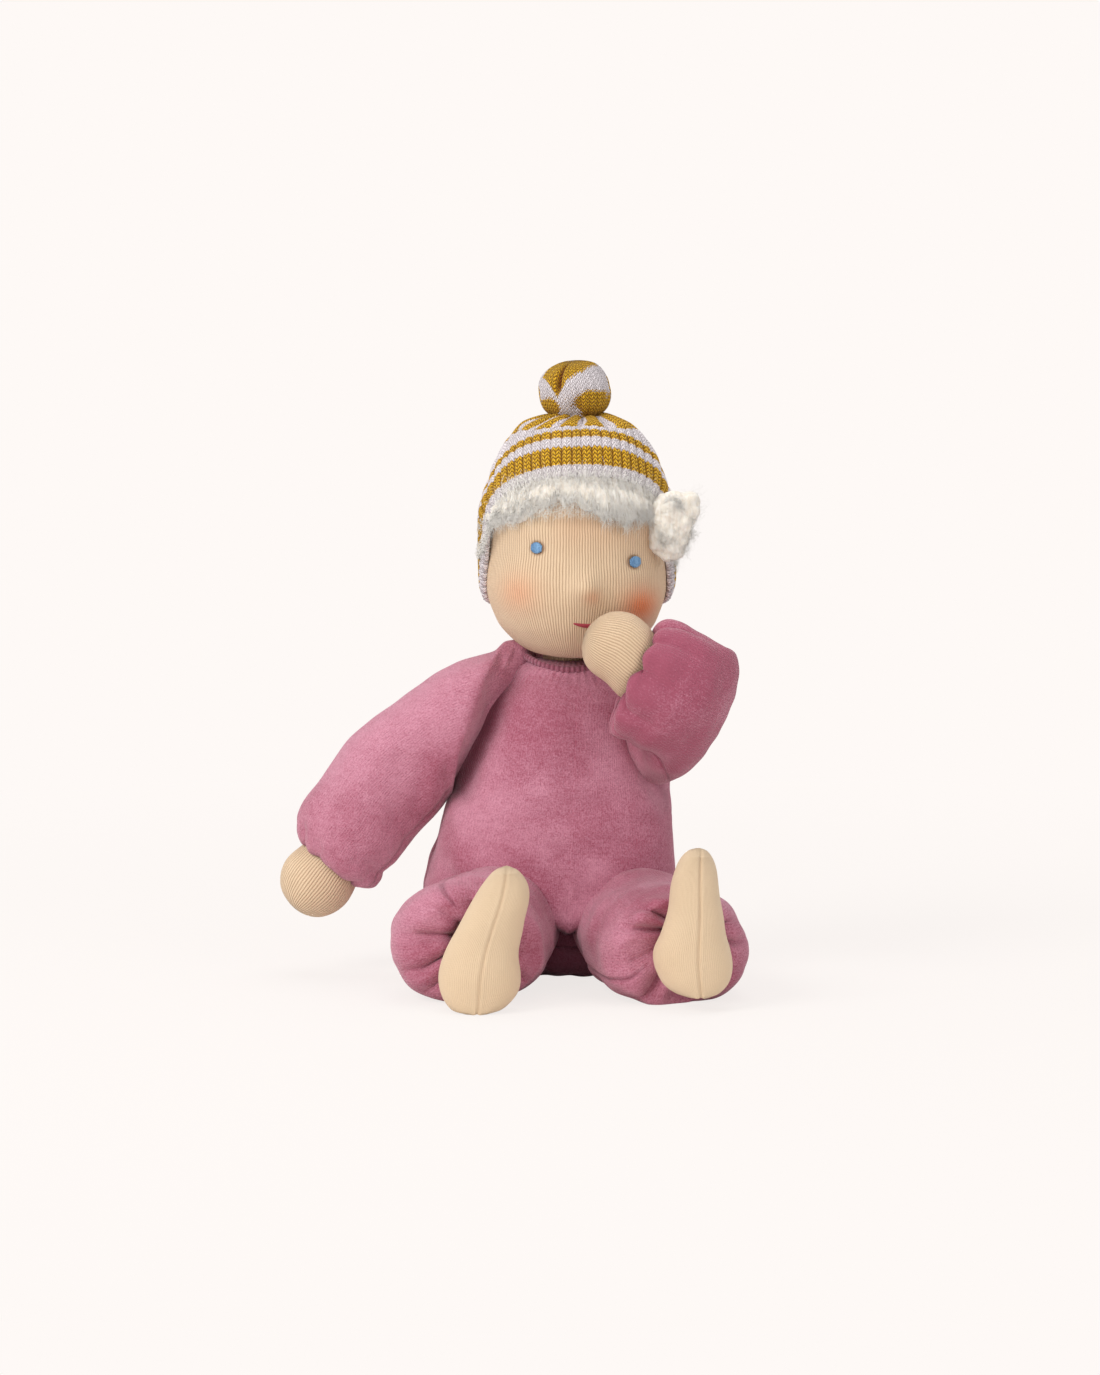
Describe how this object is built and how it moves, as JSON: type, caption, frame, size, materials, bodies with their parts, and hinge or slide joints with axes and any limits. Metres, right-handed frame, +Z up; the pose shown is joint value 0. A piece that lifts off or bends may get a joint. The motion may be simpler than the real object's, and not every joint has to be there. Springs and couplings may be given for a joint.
{
  "type": "waldorf doll",
  "caption": "Seated soft rag doll: velour suit with stuffed arms and legs, tricot head, hands and feet, mohair wig and a striped rib-knitted cap with a bobble.",
  "frame": {"origin": "on the flat of the seat under the body, in the plane the doll sits on", "axes": "+Z up; the doll faces -Y; +X is towards the doll's left side"},
  "size_m": [0.1716, 0.1408, 0.2366],
  "materials": {
    "velour": "brushed cotton velour, dusky pink",
    "tricot": "fine ribbed cotton tricot, skin colour",
    "mohair": "brushed mohair pile, ivory",
    "rib_knit": "rib-knitted wool, mustard and lilac stripes",
    "wool_filling": "carded wool filling",
    "eye_thread": "stranded cotton in satin stitch, blue",
    "mouth_thread": "stranded cotton, pink",
    "sewing_thread": "cotton sewing thread"
  },
  "bodies": {
    "torso": {"torso_front": "velour", "torso_back": "velour", "torso_stuffing": "wool_filling", "collar": "velour"},
    "neck": {"neck_stuffing": "wool_filling", "neck_thread": "sewing_thread"},
    "head": {"head_core": "wool_filling", "head_skin": "tricot", "nose": "tricot", "eye_right": "eye_thread", "eye_left": "eye_thread", "mouth": "mouth_thread", "hair": "mohair"},
    "hat": {"hat": "rib_knit", "hat_bobble": "rib_knit", "bobble_thread": "sewing_thread"},
    "upper_arm_right": {"upper_sleeve_right": "velour", "upper_arm_stuffing_right": "wool_filling"},
    "forearm_right": {"forearm_sleeve_right": "velour", "forearm_stuffing_right": "wool_filling", "wrist_thread_right": "sewing_thread"},
    "hand_right": {"hand_skin_right": "tricot", "hand_stuffing_right": "wool_filling"},
    "leg_right": {"trouser_leg_right": "velour", "leg_stuffing_right": "wool_filling", "ankle_thread_right": "sewing_thread"},
    "foot_right": {"foot_outer_right": "tricot", "foot_inner_right": "tricot", "foot_stuffing_right": "wool_filling"},
    "upper_arm_left": {"upper_sleeve_left": "velour", "upper_arm_stuffing_left": "wool_filling"},
    "forearm_left": {"forearm_sleeve_left": "velour", "forearm_stuffing_left": "wool_filling", "wrist_thread_left": "sewing_thread"},
    "hand_left": {"hand_skin_left": "tricot", "hand_stuffing_left": "wool_filling"},
    "leg_left": {"trouser_leg_left": "velour", "leg_stuffing_left": "wool_filling", "ankle_thread_left": "sewing_thread"},
    "foot_left": {"foot_outer_left": "tricot", "foot_inner_left": "tricot", "foot_stuffing_left": "wool_filling"}
  },
  "joints": [
    {"name": "head_nod", "type": "hinge", "parent": "torso", "child": "neck", "pos_m": [0.0015, -0.009, 0.121], "axis": [1, 0, 0], "range_deg": [-7, 0.5]},
    {"name": "head_turn", "type": "hinge", "parent": "neck", "child": "head", "pos_m": [0.0015, -0.009, 0.121], "axis": [0, 0, 1], "range_deg": [-30, 30]},
    {"name": "hat_pull", "type": "slide", "parent": "head", "child": "hat", "axis": [0, 0, 1], "range_m": [0, 0.08]},
    {"name": "shoulder_right", "type": "hinge", "parent": "torso", "child": "upper_arm_right", "pos_m": [-0.035, -0.01, 0.101], "axis": [0, 1, 0], "range_deg": [0, 80]},
    {"name": "elbow_right", "type": "hinge", "parent": "upper_arm_right", "child": "forearm_right", "pos_m": [-0.07119, -0.01282, 0.07115], "axis": [-0.8146, -0.0053, 0.58], "range_deg": [0, 75]},
    {"name": "wrist_right", "type": "hinge", "parent": "forearm_right", "child": "hand_right", "pos_m": [-0.08858, -0.01402, 0.04673], "axis": [-0.0275, 0.9992, -0.0295], "range_deg": [-15, 15]},
    {"name": "hip_right", "type": "hinge", "parent": "torso", "child": "leg_right", "pos_m": [-0.024, -0.033, 0.022], "axis": [0.9338, -0.1114, -0.3399], "range_deg": [-6, 75]},
    {"name": "ankle_right", "type": "hinge", "parent": "leg_right", "child": "foot_right", "pos_m": [-0.03075, -0.0896, 0.022], "axis": [0.9806, -0.1169, -0.1575], "range_deg": [-10, 10]},
    {"name": "shoulder_left", "type": "hinge", "parent": "torso", "child": "upper_arm_left", "pos_m": [0.035, -0.01, 0.101], "axis": [0, 0, 1], "range_deg": [0, 60]},
    {"name": "elbow_left", "type": "hinge", "parent": "upper_arm_left", "child": "forearm_left", "pos_m": [0.04675, -0.0537, 0.11369], "axis": [-0.404, -0.3535, -0.8437], "range_deg": [-100, 0]},
    {"name": "wrist_left", "type": "hinge", "parent": "forearm_left", "child": "hand_left", "pos_m": [0.0196, -0.0531, 0.12644], "axis": [0.1334, -0.9352, 0.328], "range_deg": [-5, 15]},
    {"name": "hip_left", "type": "hinge", "parent": "torso", "child": "leg_left", "pos_m": [0.024, -0.033, 0.022], "axis": [0.9032, 0.2761, 0.3287], "range_deg": [-6, 75]},
    {"name": "ankle_left", "type": "hinge", "parent": "leg_left", "child": "foot_left", "pos_m": [0.04067, -0.08751, 0.022], "axis": [0.9563, 0.2924, 0], "range_deg": [-10, 10]}
  ]
}
